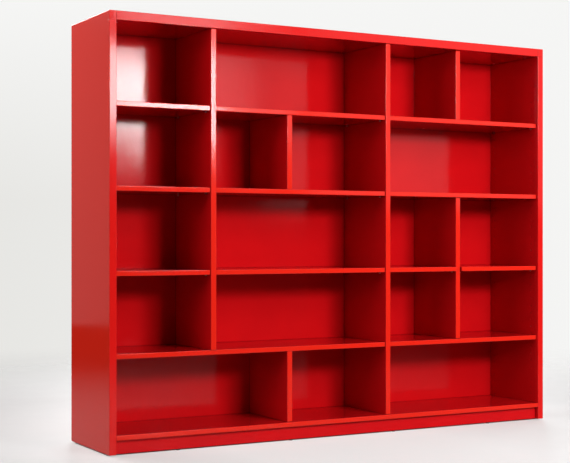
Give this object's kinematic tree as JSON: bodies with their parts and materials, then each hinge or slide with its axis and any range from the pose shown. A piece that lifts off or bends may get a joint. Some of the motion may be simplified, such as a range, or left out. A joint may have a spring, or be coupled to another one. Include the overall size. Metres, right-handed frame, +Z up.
{
  "type": "open shelving cabinet",
  "caption": "Wide free-standing open cabinet with upright dividers, fixed and loose shelves, a recessed plinth and pin holes, in red gloss finish.",
  "frame": {"origin": "on the floor, midway across the width and the depth of the cabinet", "axes": "+X to the right seen from the open front, +Y to the back, +Z up; the open front faces -Y"},
  "size_m": [2.17, 0.43, 1.74],
  "materials": {
    "red_lacquer": "board in smooth red gloss lacquer",
    "nickel_pins": "nickel-plated steel",
    "zinc_fittings": "die-cast zinc and zinc-plated steel",
    "zinc_screws": "bright zinc-plated steel",
    "beech": "plain beech, fluted and unfinished",
    "black_plastic": "moulded plastic, matt"
  },
  "bodies": {
    "carcass": {"back_panel": "red_lacquer", "back_panel_screws": "zinc_screws", "bottom_panel": "red_lacquer", "bottom_row_divider": "red_lacquer", "cam_bolts": "zinc_fittings", "cam_locks": "zinc_fittings", "divider_screws": "zinc_screws", "floor_glides": "black_plastic", "front_plinth": "red_lacquer", "joint_dowels": "beech", "left_bay_shelf_pins": "nickel_pins", "left_corner_block": "red_lacquer", "left_front_stile": "red_lacquer", "left_side_panel": "red_lacquer", "long_shelf": "red_lacquer", "middle_bay_shelf_pins": "nickel_pins", "middle_rear_rail": "red_lacquer", "plinth_bearers": "red_lacquer", "rear_plinth": "red_lacquer", "right_bay_shelf_2": "red_lacquer", "right_bay_shelf_4": "red_lacquer", "right_bay_shelf_pins": "nickel_pins", "right_corner_block": "red_lacquer", "right_front_stile": "red_lacquer", "right_side_panel": "red_lacquer", "right_tall_divider": "red_lacquer", "tall_divider_left": "red_lacquer", "tall_divider_right": "red_lacquer", "top_front_rail": "red_lacquer", "top_panel": "red_lacquer", "top_rear_rail": "red_lacquer"},
    "left_shelf_1": {"left_bay_shelf_1": "red_lacquer"},
    "left_shelf_2": {"left_bay_shelf_2": "red_lacquer"},
    "left_shelf_3": {"left_bay_shelf_3": "red_lacquer"},
    "middle_shelf_1": {"middle_bay_shelf_1": "red_lacquer"},
    "middle_shelf_2": {"middle_bay_shelf_2": "red_lacquer", "middle_row_divider": "red_lacquer", "middle_row_divider_screws": "zinc_screws"},
    "middle_shelf_3": {"middle_bay_shelf_3": "red_lacquer"},
    "right_shelf_1": {"right_bay_shelf_1": "red_lacquer", "right_top_divider": "red_lacquer", "right_top_divider_screws": "zinc_screws"},
    "right_shelf_3_left": {"right_bay_shelf_3_left": "red_lacquer"},
    "right_shelf_3_right": {"right_bay_shelf_3_right": "red_lacquer"}
  },
  "joints": [
    {"name": "left_shelf_1_pull", "type": "slide", "parent": "carcass", "child": "left_shelf_1", "axis": [0, -1, 0], "range_m": [0, 0.34]},
    {"name": "left_shelf_2_pull", "type": "slide", "parent": "carcass", "child": "left_shelf_2", "axis": [0, -1, 0], "range_m": [0, 0.34]},
    {"name": "left_shelf_3_pull", "type": "slide", "parent": "carcass", "child": "left_shelf_3", "axis": [0, -1, 0], "range_m": [0, 0.34]},
    {"name": "middle_shelf_1_pull", "type": "slide", "parent": "carcass", "child": "middle_shelf_1", "axis": [0, -1, 0], "range_m": [0, 0.34]},
    {"name": "middle_shelf_2_pull", "type": "slide", "parent": "carcass", "child": "middle_shelf_2", "axis": [0, -1, 0], "range_m": [0, 0.34]},
    {"name": "middle_shelf_3_pull", "type": "slide", "parent": "carcass", "child": "middle_shelf_3", "axis": [0, -1, 0], "range_m": [0, 0.34]},
    {"name": "right_shelf_1_pull", "type": "slide", "parent": "carcass", "child": "right_shelf_1", "axis": [0, -1, 0], "range_m": [0, 0.34]},
    {"name": "right_shelf_3_left_pull", "type": "slide", "parent": "carcass", "child": "right_shelf_3_left", "axis": [0, -1, 0], "range_m": [0, 0.34]},
    {"name": "right_shelf_3_right_pull", "type": "slide", "parent": "carcass", "child": "right_shelf_3_right", "axis": [0, -1, 0], "range_m": [0, 0.34]}
  ]
}
